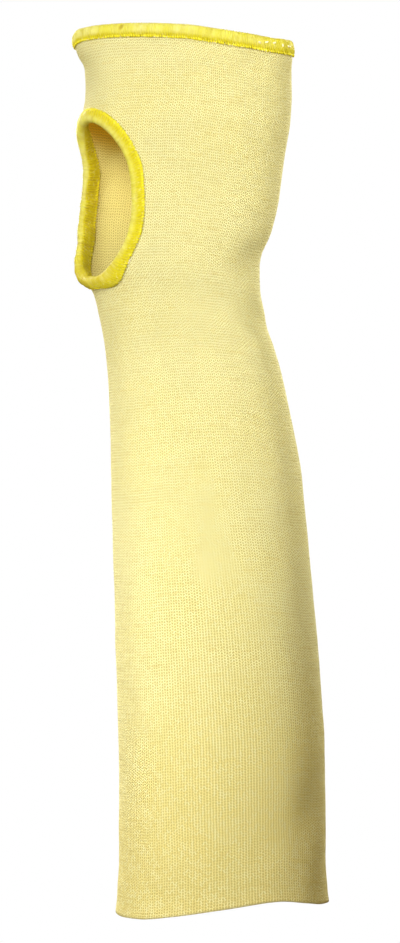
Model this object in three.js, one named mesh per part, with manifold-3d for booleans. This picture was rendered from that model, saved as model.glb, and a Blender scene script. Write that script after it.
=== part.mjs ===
// A knitted cut resistant sleeve for the forearm and hand, with a hole for the thumb.
// Millimetres, +Z up, hand end up. The origin is the centre of the arm end's opening, -X is the
// thumb side and -Y is the side with the near lip of the thumb hole.
import * as THREE from 'three';
import { mergeVertices } from 'three/addons/utils/BufferGeometryUtils.js';
import Module from 'manifold-3d';

// Driving dimensions in millimetres, and angles in degrees round the sleeve from the thumb side
const SLEEVE_LENGTH = 351.6; // middle of the arm edge to the highest point of the hand edge
const WALL = 1.5; // thickness of the knit
const ARM_EDGE_WIDTH = 84;
const ARM_EDGE_DEPTH = 66;
const FOREARM_WIDTH = 82.2;
const FOREARM_DEPTH = 72;
const WRIST_WIDTH = 66.4;
const WRIST_DEPTH = 48;
const PALM_WIDTH = 84.2;
const PALM_DEPTH = 50;
const HAND_EDGE_WIDTH = 86.8;
const HAND_EDGE_DEPTH = 36;
const SIDE_LEAN = 18.9; // how far the wrist lies to the thumb side of the arm opening
const BACK_SWAY = 5; // how far the hand edge lies behind the arm opening
const THUMB_SWELL = 8; // how far the thumb's root pushes the knit out
const ARM_EDGE_WAVE = 4.4; // rise of the arm edge's wave
const ARM_EDGE_ROLL = 0.5; // how far the plain arm edge rolls out
const ARM_EDGE_ROLL_HEIGHT = 3; // how far up the roll reaches
const HAND_EDGE_WAVE = 5.6; // drop of the hand edge from its highest point
const THUMB_HOLE_HEIGHT = 64.2; // between the cut edges, along the sleeve
const THUMB_HOLE_DROP = 74.6; // from the hand edge's highest point to the hole's widest level
const THUMB_HOLE_UPPER_SHARE = 0.572; // of its height, above that level
const THUMB_HOLE_NEAR_ANGLE = 65.8; // lip on the near side
const THUMB_HOLE_END_ANGLE = 23; // upper and lower end
const THUMB_HOLE_FAR_ANGLE = -25.5; // lip on the far side
const THUMB_HOLE_UPPER_POINT = 0.95; // how pointed its ends are: 1 is round, below 1 is full
const THUMB_HOLE_LOWER_POINT = 0.7;
const FOLD_RISE = 1.6; // height of a full fold
const FOLD_BREADTH = 8; // half breadth of a full fold
const THREAD_THICKNESS = 0.8; // wrapped thread of both bindings, at its thickest
const THREAD_EDGE_SHARE = 0.6; // of that thickness, where the band begins and at its corners
const HAND_BINDING_DEPTH = 3.8; // how far the thread reaches down on the thumb side
const HAND_BINDING_SPREAD = 0.8; // how much further it reaches on the other side
const THUMB_BINDING_DEPTH = 4; // how far the thread reaches from the hole's edge
const CLEARANCE = 0.3; // between the knit and the thread round it

// Mesh density
const COLUMNS = 40;
const MERGE_DISTANCE = 1e-4;
const HOLE_STEPS = 52;
const PLUG_RINGS = 3;
const ROW_ZONES = [
  { from: 0, to: 0.02, rows: 3 },
  { from: 0.02, to: 0.66, rows: 15 },
  { from: 0.66, to: 0.76, rows: 11 },
  { from: 0.76, to: 0.9, rows: 8 },
  { from: 0.9, to: 0.96, rows: 5 },
  { from: 0.96, to: 1, rows: 6 },
];

// Girths that the table of sections blends between
const armEdge = { width: ARM_EDGE_WIDTH, depth: ARM_EDGE_DEPTH };
const forearm = { width: FOREARM_WIDTH, depth: FOREARM_DEPTH };
const wrist = { width: WRIST_WIDTH, depth: WRIST_DEPTH };
const palm = { width: PALM_WIDTH, depth: PALM_DEPTH };
const handEdge = { width: HAND_EDGE_WIDTH, depth: HAND_EDGE_DEPTH };

// Level sections, as shares: up of SLEEVE_LENGTH, wide and deep of the way from one girth to the
// next, lean of SIDE_LEAN, sway of BACK_SWAY and swell of THUMB_SWELL
const SECTIONS = [
  { up: -0.02, from: armEdge, to: forearm, wide: 0.0, deep: 0.0, lean: 0.0, sway: 0.0, swell: 0 },
  { up: 0.013, from: armEdge, to: forearm, wide: 0.0, deep: 0.15, lean: 0.0, sway: 0.0, swell: 0 },
  { up: 0.054, from: armEdge, to: forearm, wide: 1.0, deep: 0.5, lean: 0.0, sway: -0.1, swell: 0 },
  { up: 0.163, from: armEdge, to: forearm, wide: 1.0, deep: 1.0, lean: 0.01, sway: -0.3, swell: 0 },
  { up: 0.245, from: forearm, to: wrist, wide: 0.05, deep: 0.02, lean: 0.07, sway: -0.4, swell: 0 },
  { up: 0.328, from: forearm, to: wrist, wide: 0.15, deep: 0.1, lean: 0.155, sway: -0.4, swell: 0 },
  { up: 0.41, from: forearm, to: wrist, wide: 0.275, deep: 0.25, lean: 0.25, sway: -0.3, swell: 0 },
  { up: 0.492, from: forearm, to: wrist, wide: 0.4, deep: 0.42, lean: 0.345, sway: -0.1, swell: 0 },
  { up: 0.547, from: forearm, to: wrist, wide: 0.6, deep: 0.58, lean: 0.45, sway: 0.05, swell: 0 },
  { up: 0.602, from: forearm, to: wrist, wide: 0.8, deep: 0.76, lean: 0.58, sway: 0.15, swell: 0 },
  { up: 0.643, from: forearm, to: wrist, wide: 0.95, deep: 0.92, lean: 0.73, sway: 0.2, swell: 0 },
  { up: 0.684, from: wrist, to: palm, wide: 0.0, deep: 0.0, lean: 0.915, sway: 0.2, swell: 0 },
  { up: 0.6975, from: wrist, to: palm, wide: 0.0, deep: 0.0, lean: 0.955, sway: 0.2, swell: 0.06 },
  { up: 0.711, from: wrist, to: palm, wide: 0.01, deep: 0.0, lean: 0.97, sway: 0.2, swell: 0.52 },
  { up: 0.725, from: wrist, to: palm, wide: 0.045, deep: 0.05, lean: 0.975, sway: 0.22, swell: 0.86 },
  { up: 0.7386, from: wrist, to: palm, wide: 0.12, deep: 0.15, lean: 0.96, sway: 0.25, swell: 0.96 },
  { up: 0.766, from: wrist, to: palm, wide: 0.41, deep: 0.35, lean: 0.9, sway: 0.3, swell: 0.9 },
  { up: 0.807, from: wrist, to: palm, wide: 0.73, deep: 0.6, lean: 0.895, sway: 0.45, swell: 0.42 },
  { up: 0.848, from: wrist, to: palm, wide: 0.88, deep: 0.85, lean: 0.865, sway: 0.6, swell: 0 },
  { up: 0.889, from: wrist, to: palm, wide: 1.0, deep: 1.0, lean: 0.79, sway: 0.75, swell: 0 },
  { up: 0.917, from: palm, to: handEdge, wide: -0.4, deep: 0.2, lean: 0.725, sway: 0.85, swell: 0 },
  { up: 0.937, from: palm, to: handEdge, wide: -0.5, deep: 0.35, lean: 0.71, sway: 0.9, swell: 0 },
  { up: 0.954, from: palm, to: handEdge, wide: -0.4, deep: 0.58, lean: 0.72, sway: 0.95, swell: 0 },
  { up: 0.966, from: palm, to: handEdge, wide: 0.6, deep: 0.8, lean: 0.775, sway: 1, swell: 0 },
  { up: 0.979, from: palm, to: handEdge, wide: 1.0, deep: 0.95, lean: 0.83, sway: 1, swell: 0 },
  { up: 1.01, from: palm, to: handEdge, wide: 1.0, deep: 1.0, lean: 0.835, sway: 1, swell: 0 },
];

// Soft folds and dents: angle and turn in degrees, up as a share of SLEEVE_LENGTH, run of
// WRIST_WIDTH, breadth of FOLD_BREADTH and rise of FOLD_RISE, negative for a dent
const FOLDS = [
  { angle: 150, up: 0.727, turn: 25, run: 0.3, breadth: 0.9, rise: -1.0 },
  { angle: 140, up: 0.692, turn: -20, run: 0.35, breadth: 0.6, rise: 0.5 },
  { angle: 150, up: 0.668, turn: -15, run: 0.35, breadth: 0.7, rise: -0.8 },
  { angle: 40, up: 0.69, turn: 15, run: 0.25, breadth: 0.7, rise: -0.6 },
  { angle: 95, up: 0.966, turn: 0, run: 0.25, breadth: 0.6, rise: -0.35 },
  { angle: 125, up: 0.955, turn: -5, run: 0.5, breadth: 0.7, rise: -0.5 },
  { angle: 15, up: 0.935, turn: 80, run: 0.2, breadth: 0.7, rise: -0.6 },
  { angle: 140, up: 0.105, turn: 40, run: 0.35, breadth: 1.0, rise: -0.8 },
  { angle: 128, up: 0.075, turn: 60, run: 0.3, breadth: 0.9, rise: 0.5 },
  { angle: 150, up: 0.06, turn: 60, run: 0.3, breadth: 1.0, rise: 0.5 },
];

// Line of the arm edge: height as a share of ARM_EDGE_WAVE by angle
const ARM_EDGE_LINE = [
  { angle: 0, rise: -0.55 },
  { angle: 23, rise: -0.77 },
  { angle: 40, rise: -0.75 },
  { angle: 62, rise: -0.36 },
  { angle: 90, rise: 0.36 },
  { angle: 122, rise: 1.0 },
  { angle: 140, rise: 0.7 },
  { angle: 158, rise: 0.4 },
  { angle: 185, rise: 0.35 },
  { angle: 225, rise: 0.0 },
  { angle: 270, rise: -0.2 },
  { angle: 320, rise: -0.35 },
];

// Line of the hand edge: height as a share of HAND_EDGE_WAVE by angle
const HAND_EDGE_LINE = [
  { angle: 0, rise: -0.5 },
  { angle: 19, rise: -0.21 },
  { angle: 62, rise: 0.0 },
  { angle: 90, rise: -0.11 },
  { angle: 107, rise: -0.39 },
  { angle: 125, rise: -0.68 },
  { angle: 150, rise: -0.98 },
  { angle: 180, rise: -1.0 },
  { angle: 225, rise: -0.9 },
  { angle: 270, rise: -0.8 },
  { angle: 315, rise: -0.7 },
];

const knitMaterial = new THREE.MeshStandardMaterial({ color: 0xf3e8a4, roughness: 0.9, metalness: 0 });
const threadMaterial = new THREE.MeshStandardMaterial({ color: 0xf4dd4a, roughness: 0.6, metalness: 0 });

const { DEG2RAD } = THREE.MathUtils;
const mix = THREE.MathUtils.lerp;

// A smooth curve through rows that never overshoots them
function through(rows, at, value) {
  const xs = rows.map(at);
  const ys = rows.map(value);
  const steps = xs.slice(1).map((x, i) => x - xs[i]);
  const slopes = steps.map((step, i) => (ys[i + 1] - ys[i]) / step);
  const tangents = xs.map((_, i) => {
    const before = slopes[i - 1];
    const after = slopes[i];
    if (before === undefined || after === undefined || before * after <= 0) return 0;
    return (2 * before * after) / (before + after);
  });
  return (x) => {
    let i = 0;
    while (i < steps.length - 1 && x > xs[i + 1]) i += 1;
    const s = THREE.MathUtils.clamp((x - xs[i]) / steps[i], 0, 1);
    const rise = ys[i + 1] - ys[i];
    const bend = steps[i] * (tangents[i] * (1 - s) - tangents[i + 1] * s);
    return ys[i] + rise * s * s * (3 - 2 * s) + bend * s * (1 - s);
  };
}

// The same round a full turn, so that the last row leads into the first
function roundTurn(rows, value) {
  const turns = [-360, 0, 360].flatMap((add) => rows.map((row) => ({ ...row, angle: row.angle + add })));
  const curve = through(turns, (row) => row.angle, value);
  return (angle) => curve(THREE.MathUtils.euclideanModulo(angle, 360));
}

const alongSleeve = (value) => through(SECTIONS, (row) => row.up * SLEEVE_LENGTH, value);
const widthAt = alongSleeve((row) => mix(row.from.width, row.to.width, row.wide));
const depthAt = alongSleeve((row) => mix(row.from.depth, row.to.depth, row.deep));
const leanAt = alongSleeve((row) => row.lean * SIDE_LEAN);
const swayAt = alongSleeve((row) => row.sway * BACK_SWAY);
const swellAt = alongSleeve((row) => row.swell * THUMB_SWELL);
const armEdgeWave = roundTurn(ARM_EDGE_LINE, (row) => row.rise * ARM_EDGE_WAVE);
const handEdgeWave = roundTurn(HAND_EDGE_LINE, (row) => row.rise * HAND_EDGE_WAVE);

// The knit's own edges: the hand edge lies under its binding's thread
const armEdgeHeight = (angle) => armEdgeWave(angle);
const handEdgeHeight = (angle) => SLEEVE_LENGTH + handEdgeWave(angle) - THREAD_THICKNESS - CLEARANCE;

// How far the folds and the rolled arm edge lift the surface
function relief(angle, height) {
  const radius = (widthAt(height) + depthAt(height)) / 4;
  let lift = 0;
  for (const fold of FOLDS) {
    const away = THREE.MathUtils.euclideanModulo(angle - fold.angle + 180, 360) - 180;
    const round = away * DEG2RAD * radius;
    const up = height - fold.up * SLEEVE_LENGTH;
    const turn = fold.turn * DEG2RAD;
    const along = (round * Math.cos(turn) + up * Math.sin(turn)) / (fold.run * WRIST_WIDTH);
    const across = (up * Math.cos(turn) - round * Math.sin(turn)) / (fold.breadth * FOLD_BREADTH);
    lift += fold.rise * FOLD_RISE * Math.exp(-along * along - across * across);
  }
  const aboveEdge = (height - armEdgeHeight(angle)) / ARM_EDGE_ROLL_HEIGHT;
  return lift + ARM_EDGE_ROLL * Math.exp(-aboveEdge * aboveEdge);
}

// A point of the outer surface, lifted along the level section's outward direction
function surfacePoint(angle, height) {
  const cos = Math.cos(angle * DEG2RAD);
  const sin = Math.sin(angle * DEG2RAD);
  const halfWidth = widthAt(height) / 2 + (cos > 0 ? swellAt(height) : 0);
  const halfDepth = depthAt(height) / 2;
  const outward = new THREE.Vector3(-cos * halfDepth, -sin * halfWidth, 0).normalize();
  const point = new THREE.Vector3(-leanAt(height) - halfWidth * cos, swayAt(height) - halfDepth * sin, height);
  return point.addScaledVector(outward, relief(angle, height));
}

// Slopes of the surface by angle and by height, and its outward normal
function surfaceFrame(angle, height) {
  const angleStep = 0.5;
  const heightStep = 0.5;
  const round = surfacePoint(angle + angleStep, height).sub(surfacePoint(angle - angleStep, height));
  const up = surfacePoint(angle, height + heightStep).sub(surfacePoint(angle, height - heightStep));
  round.divideScalar(2 * angleStep);
  up.divideScalar(2 * heightStep);
  return { round, up, normal: new THREE.Vector3().crossVectors(round, up).normalize() };
}

// A point at a depth under the outer surface, or above it where depth is negative
function wallPoint(angle, height, depth) {
  return surfacePoint(angle, height).addScaledVector(surfaceFrame(angle, height).normal, -depth);
}

// Triangles of a grid of points: rows that close on themselves round the second index
function closedRows(rowCount, columnCount, offset = 0) {
  const faces = [];
  for (let j = 0; j < rowCount - 1; j += 1) {
    for (let i = 0; i < columnCount; i += 1) {
      const next = (i + 1) % columnCount;
      const a = offset + j * columnCount + i;
      const b = offset + j * columnCount + next;
      const c = offset + (j + 1) * columnCount + next;
      const d = offset + (j + 1) * columnCount + i;
      faces.push(a, b, c, a, c, d);
    }
  }
  return faces;
}

function geometryOf(points, faces) {
  const geometry = new THREE.BufferGeometry();
  geometry.setAttribute('position', new THREE.Float32BufferAttribute(points.flatMap((p) => p.toArray()), 3));
  geometry.setIndex(faces);
  geometry.computeVertexNormals();
  return geometry;
}

// A ring swept round a closed path: sections[step] is the same closed outline at every step
function ringGeometry(sections) {
  const sides = sections[0].length;
  const faces = closedRows(sections.length + 1, sides).map((v) => v % (sections.length * sides));
  return geometryOf(sections.flat(), faces);
}

// The tube before the thumb hole is cut: outer wall up, hand edge, inner wall down, arm edge
function tubeGeometry() {
  const levels = ROW_ZONES.flatMap(({ from, to, rows }) =>
    Array.from({ length: rows }, (_, j) => mix(from, to, j / rows)),
  );
  levels.push(1);
  const walls = [
    ...levels.map((level) => ({ level, depth: 0 })),
    ...levels.toReversed().map((level) => ({ level, depth: WALL })),
  ];
  const sections = walls.map(({ level, depth }) =>
    Array.from({ length: COLUMNS }, (_, i) => {
      const angle = (360 * i) / COLUMNS;
      return wallPoint(angle, mix(armEdgeHeight(angle), handEdgeHeight(angle), level), depth);
    }),
  );
  return ringGeometry(sections);
}

const thumbHoleLevel = SLEEVE_LENGTH - THUMB_HOLE_DROP;

// The thumb hole's edge from its upper end round by the near lip: an oval, fuller below than above,
// whose far lip reaches round the thumb side
function holeEdge(turn, share = 1) {
  const along = Math.cos(turn);
  const across = Math.sin(turn);
  const nearReach = THUMB_HOLE_NEAR_ANGLE - THUMB_HOLE_END_ANGLE;
  const farReach = THUMB_HOLE_END_ANGLE - THUMB_HOLE_FAR_ANGLE;
  const upperReach = THUMB_HOLE_HEIGHT * THUMB_HOLE_UPPER_SHARE;
  const reach = along > 0 ? upperReach : THUMB_HOLE_HEIGHT - upperReach;
  const roundness = mix(THUMB_HOLE_UPPER_POINT, THUMB_HOLE_LOWER_POINT, (1 - along) / 2);
  const opened = Math.sign(across) * Math.abs(across) ** roundness;
  return {
    angle: THUMB_HOLE_END_ANGLE + (across > 0 ? nearReach : farReach) * opened * share,
    height: thumbHoleLevel + reach * along * share,
  };
}

// The same edge as a curve, which spaces its steps evenly
class HoleCurve extends THREE.Curve {
  getPoint(share) {
    const { angle, height } = holeEdge(2 * Math.PI * share);
    return surfacePoint(angle, height);
  }
}

const holeCurve = new HoleCurve();
const holeTurns = Array.from(
  { length: HOLE_STEPS },
  (_, i) => 2 * Math.PI * holeCurve.getUtoTmapping(i / HOLE_STEPS),
);

// The plug that cuts the hole through the wall: concentric rings on both sides of the wall
function plugGeometry() {
  const reach = 3 * WALL;
  const shares = Array.from({ length: PLUG_RINGS }, (_, i) => (i + 1) / PLUG_RINGS);
  const layers = [
    ...shares.map((share) => ({ share, depth: -reach })),
    ...shares.toReversed().map((share) => ({ share, depth: WALL + reach })),
  ];
  const points = layers.flatMap(({ share, depth }) =>
    holeTurns.map((turn) => {
      const { angle, height } = holeEdge(turn, share);
      return wallPoint(angle, height, depth);
    }),
  );
  const faces = closedRows(layers.length, HOLE_STEPS);
  const outerPole = points.push(wallPoint(THUMB_HOLE_END_ANGLE, thumbHoleLevel, -reach)) - 1;
  const innerPole = points.push(wallPoint(THUMB_HOLE_END_ANGLE, thumbHoleLevel, WALL + reach)) - 1;
  const lastRing = (layers.length - 1) * HOLE_STEPS;
  for (let i = 0; i < HOLE_STEPS; i += 1) {
    const next = (i + 1) % HOLE_STEPS;
    faces.push(outerPole, next, i);
    faces.push(innerPole, lastRing + i, lastRing + next);
  }
  return geometryOf(points, faces);
}

const wasm = await Module();
wasm.setup();

function solidOf(geometry) {
  const bare = geometry.clone();
  bare.deleteAttribute('normal');
  bare.deleteAttribute('uv');
  const merged = mergeVertices(bare, MERGE_DISTANCE);
  const mesh = new wasm.Mesh({
    numProp: 3,
    vertProperties: new Float32Array(merged.attributes.position.array),
    triVerts: new Uint32Array(merged.index.array),
  });
  return new wasm.Manifold(mesh);
}

function geometryOfSolid(solid) {
  const mesh = solid.getMesh();
  const geometry = new THREE.BufferGeometry();
  geometry.setAttribute('position', new THREE.BufferAttribute(mesh.vertProperties, mesh.numProp));
  geometry.setIndex(new THREE.BufferAttribute(mesh.triVerts, 1));
  geometry.computeVertexNormals();
  return geometry;
}

// Section of wrapped thread round a cloth edge: past is how far a point lies past the edge, and
// lift is its height over the outer face of the cloth
function threadSection(depth) {
  const inFace = WALL + CLEARANCE;
  const outFace = CLEARANCE;
  const thin = THREAD_EDGE_SHARE * THREAD_THICKNESS;
  return [
    { past: CLEARANCE, lift: outFace },
    { past: -depth / 2, lift: outFace },
    { past: -depth, lift: outFace },
    { past: -depth, lift: outFace + thin },
    { past: -depth / 2, lift: outFace + THREAD_THICKNESS },
    { past: 0, lift: outFace + THREAD_THICKNESS },
    { past: CLEARANCE + thin, lift: outFace + thin },
    { past: CLEARANCE + THREAD_THICKNESS, lift: -WALL / 2 },
    { past: CLEARANCE + thin, lift: -inFace - thin },
    { past: 0, lift: -inFace - THREAD_THICKNESS },
    { past: -depth / 2, lift: -inFace - THREAD_THICKNESS },
    { past: -depth, lift: -inFace - thin },
    { past: -depth, lift: -inFace },
    { past: -depth / 2, lift: -inFace },
    { past: CLEARANCE, lift: -inFace },
  ];
}

// The hand edge's binding follows the upper rim, the way round that the thumb hole's edge runs
function handBindingGeometry() {
  const sections = Array.from({ length: COLUMNS }, (_, i) => {
    const angle = (-360 * i) / COLUMNS;
    const spread = (1 - Math.cos(angle * DEG2RAD)) / 2;
    const edge = handEdgeHeight(angle);
    const section = threadSection(HAND_BINDING_DEPTH + HAND_BINDING_SPREAD * spread);
    return section.map(({ past, lift }) => wallPoint(angle, edge + past, -lift));
  });
  return ringGeometry(sections);
}

// The thumb hole's binding follows the cut edge: past points into the opening
function thumbBindingGeometry() {
  const turnStep = 0.01;
  const sections = holeTurns.map((turn) => {
    const { angle, height } = holeEdge(turn);
    const before = holeEdge(turn - turnStep);
    const after = holeEdge(turn + turnStep);
    const { round, up, normal } = surfaceFrame(angle, height);
    const run = wallPoint(after.angle, after.height, 0).sub(wallPoint(before.angle, before.height, 0));
    const inward = new THREE.Vector3().crossVectors(run, normal).normalize();
    const angleRate = inward.dot(round) / round.lengthSq();
    const heightRate = inward.dot(up) / up.lengthSq();
    return threadSection(THUMB_BINDING_DEPTH).map(({ past, lift }) =>
      wallPoint(angle + angleRate * past, height + heightRate * past, -lift),
    );
  });
  return ringGeometry(sections);
}

function namedMesh(name, geometry, material) {
  const mesh = new THREE.Mesh(geometry, material);
  mesh.name = name;
  return mesh;
}

const knitSolid = solidOf(tubeGeometry()).subtract(solidOf(plugGeometry()));

const sleeve = new THREE.Group();
sleeve.add(namedMesh('knit_sleeve', geometryOfSolid(knitSolid), knitMaterial));
sleeve.add(namedMesh('hand_edge_binding', handBindingGeometry(), threadMaterial));
sleeve.add(namedMesh('thumb_edge_binding', thumbBindingGeometry(), threadMaterial));

export default sleeve;
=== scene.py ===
# %% [markdown]
# # A knitted cut resistant sleeve
# The real object is one seamless knitted tube of pale yellow yarn. It is wide at the arm end, narrow
# at the wrist and wide again round the palm, and its two cut edges, the rim round the knuckles and the
# thumb hole, are closed with wrapped thread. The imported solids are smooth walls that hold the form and
# the size. This lesson dresses them: a ribbed knit, two rolled thread edges, and their finishes.

# %% The frame
import math

import bpy
import numpy as np
from mathutils import Matrix, Vector


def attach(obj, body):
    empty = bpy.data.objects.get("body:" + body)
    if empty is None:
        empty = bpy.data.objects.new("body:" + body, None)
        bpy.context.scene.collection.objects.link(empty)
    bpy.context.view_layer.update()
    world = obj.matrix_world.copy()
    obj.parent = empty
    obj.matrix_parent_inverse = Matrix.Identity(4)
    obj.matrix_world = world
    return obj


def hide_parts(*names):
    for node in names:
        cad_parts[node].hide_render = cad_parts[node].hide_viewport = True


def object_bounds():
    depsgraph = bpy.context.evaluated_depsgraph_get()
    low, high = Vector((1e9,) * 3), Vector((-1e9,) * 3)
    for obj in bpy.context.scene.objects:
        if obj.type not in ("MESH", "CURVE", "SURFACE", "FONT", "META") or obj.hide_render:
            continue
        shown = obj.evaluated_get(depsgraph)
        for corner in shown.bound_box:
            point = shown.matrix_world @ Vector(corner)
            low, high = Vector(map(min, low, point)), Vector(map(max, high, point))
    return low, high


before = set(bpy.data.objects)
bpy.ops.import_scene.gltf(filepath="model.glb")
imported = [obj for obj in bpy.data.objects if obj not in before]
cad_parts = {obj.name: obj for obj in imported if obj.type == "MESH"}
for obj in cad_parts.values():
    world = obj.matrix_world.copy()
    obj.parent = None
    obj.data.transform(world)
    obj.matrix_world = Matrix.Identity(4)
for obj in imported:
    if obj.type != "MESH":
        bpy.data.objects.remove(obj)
cad_box = [[float(x) for x in corner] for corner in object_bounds()]
print("solids:", sorted(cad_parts), "box:", cad_box)

# %% [markdown]
# ## Camera, floor and light
# The object was photographed from the front with a long lens, upright, on plain white. A camera 1.6 m
# away at half the sleeve's height has the same mild perspective. The white ground could be a curved
# backdrop, but a big pale floor under a white sky gives the same clean edge from every side. Big soft
# lamps light the front and the left, narrow ones follow the sleeve up and down, and the dim sky fills
# the shadows, so the lower right side falls off as it does on the real one.

# %% Camera
MM = 0.001
CAMERA_DISTANCE = 1600 * MM
CAMERA_PLACE = (-8.92 * MM, -CAMERA_DISTANCE, 173.4 * MM)
FRAME_HEIGHT = 377.2 * MM  # what the picture spans at the sleeve's distance
SENSOR_HEIGHT = 24  # in millimetres, as lenses are named

camera_data = bpy.data.cameras.new("long_lens")
camera_data.sensor_fit = "VERTICAL"
camera_data.sensor_height = SENSOR_HEIGHT
camera_data.lens = SENSOR_HEIGHT * CAMERA_DISTANCE / FRAME_HEIGHT
camera = bpy.data.objects.new("long_lens", camera_data)
camera.location = CAMERA_PLACE
camera.rotation_euler = (math.pi / 2, 0, 0)
bpy.context.scene.collection.objects.link(camera)
bpy.context.scene.camera = camera
bpy.context.scene.view_settings.view_transform = "Standard"
print("lens", round(camera_data.lens, 1), "mm")

# %% Floor
WHITE = (1, 1, 1, 1)
FLOOR_RADIUS = 6
FLOOR_GAP = 0.2 * MM  # under the sleeve's lowest point

bpy.ops.object.select_all(action="DESELECT")
bpy.ops.mesh.primitive_circle_add(
    vertices=64, radius=FLOOR_RADIUS, fill_type="NGON", location=(0, 0, cad_box[0][2] - FLOOR_GAP)
)
floor = bpy.context.object
floor.name = "pale_floor"
bpy.ops.object.transform_apply(location=True, rotation=True, scale=True)
floor_finish = bpy.data.materials.new("pale_floor")
floor_finish.use_nodes = True
nodes, links = floor_finish.node_tree.nodes, floor_finish.node_tree.links
nodes.clear()
glow = nodes.new("ShaderNodeEmission")
glow.inputs["Color"].default_value = WHITE
glow.inputs["Strength"].default_value = 1.0
output = nodes.new("ShaderNodeOutputMaterial")
links.new(glow.outputs[0], output.inputs["Surface"])
floor.data.materials.append(floor_finish)
floor.visible_diffuse = False
floor.visible_glossy = False
floor.visible_shadow = False
print("floor at", round(floor.data.vertices[0].co.z / MM, 2), "mm")

# %% Sky
SKY_TINT, SKY_STRENGTH = (1.0, 0.74, 0.34, 1), 0.25  # warm, as the light that pale yellow cloth gives back

world = bpy.data.worlds.new("white_room")
bpy.context.scene.world = world
world.use_nodes = True
nodes, links = world.node_tree.nodes, world.node_tree.links
nodes.clear()
seen = nodes.new("ShaderNodeLightPath")
sky = nodes.new("ShaderNodeBackground")
sky.inputs["Color"].default_value = SKY_TINT
sky.inputs["Strength"].default_value = SKY_STRENGTH
white = nodes.new("ShaderNodeBackground")
white.inputs["Color"].default_value = WHITE
blend = nodes.new("ShaderNodeMixShader")
output = nodes.new("ShaderNodeOutputWorld")
links.new(seen.outputs["Is Camera Ray"], blend.inputs["Fac"])
links.new(sky.outputs[0], blend.inputs[1])
links.new(white.outputs[0], blend.inputs[2])
links.new(blend.outputs[0], output.inputs["Surface"])
print("sky strength", SKY_STRENGTH)

# %% Lamps
# name, kind, degrees round to the right, degrees up, the height it looks at in mm, watts
LAMPS = [
    ("left_at_middle", "AREA", -30, 30, 190, 8.2),
    ("front_at_middle", "AREA", 0, 15, 190, 13.0),
    ("right_at_hand", "SPOT", 50, 10, 330, 29.5),
    ("left_at_hand", "SPOT", -40, 10, 330, 31.5),
    ("right_at_wrist", "SPOT", 80, 10, 230, 38.0),
    ("left_at_foot", "SPOT", -40, 10, 30, 46.0),
    ("left_at_forearm", "SPOT", -40, 10, 150, 38.0),
    ("back_right", "AREA", 150, 20, 190, 24.0),
    ("back_left", "AREA", -150, 20, 190, 25.0),
]
LAMP_DISTANCE = {"AREA": 1.7, "SPOT": 1.5}
LAMP_AIM = (-5, 0)  # where they look, in mm to the right and back
AREA_SIZE, SPOT_CONE, SPOT_SIZE = 0.5, math.radians(14), 0.12


def lamp(name, kind, around, up, level, watts):
    """A soft lamp that looks at one height of the sleeve."""
    data = bpy.data.lights.new(name, kind)
    data.energy = watts
    if kind == "AREA":
        data.size = AREA_SIZE
    else:
        data.spot_size, data.spot_blend, data.shadow_soft_size = SPOT_CONE, 1, SPOT_SIZE
    aim = Vector((*LAMP_AIM, level)) * MM
    around, up = math.radians(around), math.radians(up)
    way = Vector((math.cos(up) * math.sin(around), -math.cos(up) * math.cos(around), math.sin(up)))
    light = bpy.data.objects.new(name, data)
    light.location = aim + way * LAMP_DISTANCE[kind]
    light.rotation_euler = (-way).to_track_quat("-Z", "Y").to_euler()
    bpy.context.scene.collection.objects.link(light)


for row in LAMPS:
    lamp(*row)
print("lamps:", len(LAMPS))

# %% Light through the cloth
# it comes through the thin knit from all round, and here it is gathered in one dim lamp inside
INSIDE_LAMP, INSIDE_WATTS = (-28, 2, 286), 0.0105

inside_data = bpy.data.lights.new("through_the_cloth", "POINT")
inside_data.energy = INSIDE_WATTS
inside_data.color = (1.0, 0.82, 0.42)
inside_data.shadow_soft_size = 0.012
inside_lamp = bpy.data.objects.new("through_the_cloth", inside_data)
inside_lamp.location = Vector(INSIDE_LAMP) * MM
bpy.context.scene.collection.objects.link(inside_lamp)
inside_lamp.visible_camera = False
print(inside_lamp.name, "at", INSIDE_LAMP, "mm")

# %% [markdown]
# ## The form
# The sleeve's shape is a stack of level ovals. Each row of the table says how wide and deep the oval
# is, how far it leans to the thumb side and sways back, and how far the thumb's root swells it. The
# same table made the solids, so whatever is built on it lies on them without any fitting.

# %% Sizes, in millimetres
SLEEVE_LENGTH = 351.6
WALL = 1.5
ARM_EDGE, FOREARM, WRIST = (84, 66), (82.2, 72), (66.4, 48)
PALM, HAND_EDGE = (84.2, 50), (86.8, 36)
SIDE_LEAN, BACK_SWAY, THUMB_SWELL = 18.9, 5, 8
ARM_EDGE_WAVE, ARM_EDGE_ROLL, ARM_EDGE_ROLL_HEIGHT = 4.4, 0.5, 3
HAND_EDGE_WAVE = 5.6
HOLE_HEIGHT, HOLE_LEVEL, HOLE_UPPER_SHARE = 64.2, 277, 0.572
HOLE_NEAR_ANGLE, HOLE_END_ANGLE, HOLE_FAR_ANGLE = 65.8, 23, -25.5
HOLE_UPPER_POINT, HOLE_LOWER_POINT = 0.95, 0.7
FOLD_RISE, FOLD_BREADTH = 1.6, 8
THREAD, CLEARANCE = 0.8, 0.3

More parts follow.
